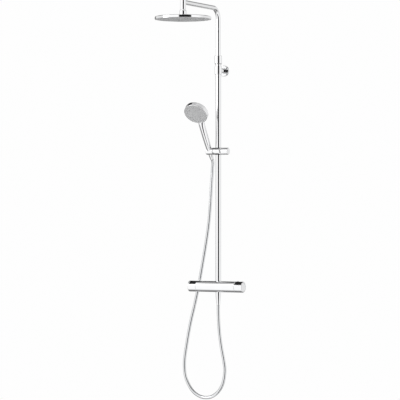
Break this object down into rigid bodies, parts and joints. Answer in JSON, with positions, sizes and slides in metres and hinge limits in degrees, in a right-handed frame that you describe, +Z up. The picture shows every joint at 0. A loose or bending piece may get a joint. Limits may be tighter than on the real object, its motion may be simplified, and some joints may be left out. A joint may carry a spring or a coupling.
{
  "type": "rainfall shower column",
  "caption": "Wall-hung chrome shower column: thermostatic mixer bar, riser, swivelling arm with a thin round overhead head, and a hand shower on a sliding tilting holder with its hose.",
  "frame": {"origin": "centre of the wall bracket's back face, in the plane of the wall", "axes": "+Z up along the riser, +Y into the wall, so the front faces -Y, and +X to the right for somebody who faces the wall"},
  "size_m": [0.3105, 0.528, 1.7314],
  "materials": {
    "chrome": "bright mirror chrome plating",
    "steel": "plain stainless steel",
    "brass": "bare turned brass, hidden inside",
    "dark_plastic": "matt dark moulded plastic",
    "white_plastic": "matt white moulded plastic",
    "spray_grey": "satin light grey moulded plastic",
    "silicone": "soft matt grey silicone",
    "rubber": "matt black sealing rubber",
    "hose_silver": "fine silver spiral hose under a clear skin"
  },
  "bodies": {
    "column": {"wall_plate": "steel", "wall_rosette": "chrome", "bracket_post": "chrome", "bracket_grub_screw": "steel", "bracket_ring": "chrome", "bracket_liner": "dark_plastic", "riser_pipe": "chrome", "riser_nipple": "brass", "riser_seal": "rubber", "coupling_sleeve": "chrome", "coupling_grub_screw": "steel", "coupling_washer": "dark_plastic", "arm_bush": "dark_plastic", "mixer_body": "chrome", "flow_cartridge": "brass", "temperature_cartridge": "brass", "hot_inlet_nipple": "brass", "hot_inlet_seal": "rubber", "hot_inlet_nut": "chrome", "cold_inlet_nipple": "brass", "cold_inlet_seal": "rubber", "cold_inlet_nut": "chrome", "hose_outlet_nipple": "brass", "hose_bottom_washer": "rubber", "hose_bottom_nut": "chrome", "hose": "hose_silver"},
    "arm": {"shower_arm": "chrome", "arm_end_fitting": "chrome", "ball_stem": "chrome"},
    "ball_liner": {"ball_liner": "white_plastic"},
    "head": {"ball_nut": "chrome", "head_shell": "chrome", "head_filter": "steel", "head_distributor": "white_plastic", "head_nozzle_mat": "silicone", "head_spray_plate": "spray_grey"},
    "slider_liner": {"slider_liner": "dark_plastic"},
    "slider": {"slider_body": "chrome", "slider_brake_pad": "rubber"},
    "knob": {"slider_knob": "chrome", "slider_clamp_screw": "steel"},
    "holder": {"holder_cup": "chrome", "holder_pivot_pin": "steel", "holder_friction_washer": "dark_plastic"},
    "handset": {"handset_body": "chrome", "handset_connector": "brass", "handset_water_tube": "white_plastic", "handset_face_ring": "chrome", "handset_nozzle_mat": "silicone", "handset_spray_face": "spray_grey", "hose_top_nut": "chrome", "hose_top_washer": "rubber"},
    "flow_handle": {"flow_handle": "chrome", "flow_handle_cap": "chrome", "flow_handle_screw": "steel"},
    "temperature_handle": {"temperature_handle": "chrome", "temperature_handle_cap": "chrome", "temperature_handle_screw": "steel"},
    "stop_button": {"temperature_stop_button": "dark_plastic"}
  },
  "joints": [
    {"name": "arm_swivel", "type": "hinge", "parent": "column", "child": "arm", "pos_m": [0, -0.062, 0.1], "axis": [0, 0, 1], "range_deg": [-45, 45]},
    {"name": "head_tilt", "type": "hinge", "parent": "arm", "child": "ball_liner", "pos_m": [0, -0.408, 0.2255], "axis": [1, 0, 0], "range_deg": [-10, 10]},
    {"name": "head_roll", "type": "hinge", "parent": "ball_liner", "child": "head", "pos_m": [0, -0.408, 0.2255], "axis": [0, 1, 0], "range_deg": [-10, 10]},
    {"name": "slider_slide", "type": "slide", "parent": "column", "child": "slider_liner", "axis": [0, 0, 1], "range_m": [-0.3, 0.28], "deforming": ["hose"]},
    {"name": "slider_swivel", "type": "hinge", "parent": "slider_liner", "child": "slider", "pos_m": [0, -0.062, -0.355], "axis": [0, 0, 1], "range_deg": [-30, 30]},
    {"name": "knob_turn", "type": "hinge", "parent": "slider", "child": "knob", "pos_m": [0.03, -0.062, -0.355], "axis": [1, 0, 0], "range_deg": [0, 180]},
    {"name": "holder_tilt", "type": "hinge", "parent": "slider", "child": "holder", "pos_m": [-0.0415, -0.062, -0.355], "axis": [1, 0, 0], "range_deg": [-20, 20]},
    {"name": "handset_lift", "type": "slide", "parent": "holder", "child": "handset", "axis": [0, -0.5779, 0.8161], "range_m": [0, 0.06]},
    {"name": "flow_turn", "type": "hinge", "parent": "column", "child": "flow_handle", "pos_m": [-0.11, -0.08, -0.9478], "axis": [1, 0, 0], "range_deg": [-90, 90]},
    {"name": "temperature_turn", "type": "hinge", "parent": "column", "child": "temperature_handle", "pos_m": [0.11, -0.08, -0.9478], "axis": [1, 0, 0], "range_deg": [-150, 120]},
    {"name": "stop_button_press", "type": "slide", "parent": "temperature_handle", "child": "stop_button", "axis": [0, -0.4067, -0.9135], "range_m": [0, 0.0015], "stiffness_N_per_m": 400}
  ]
}
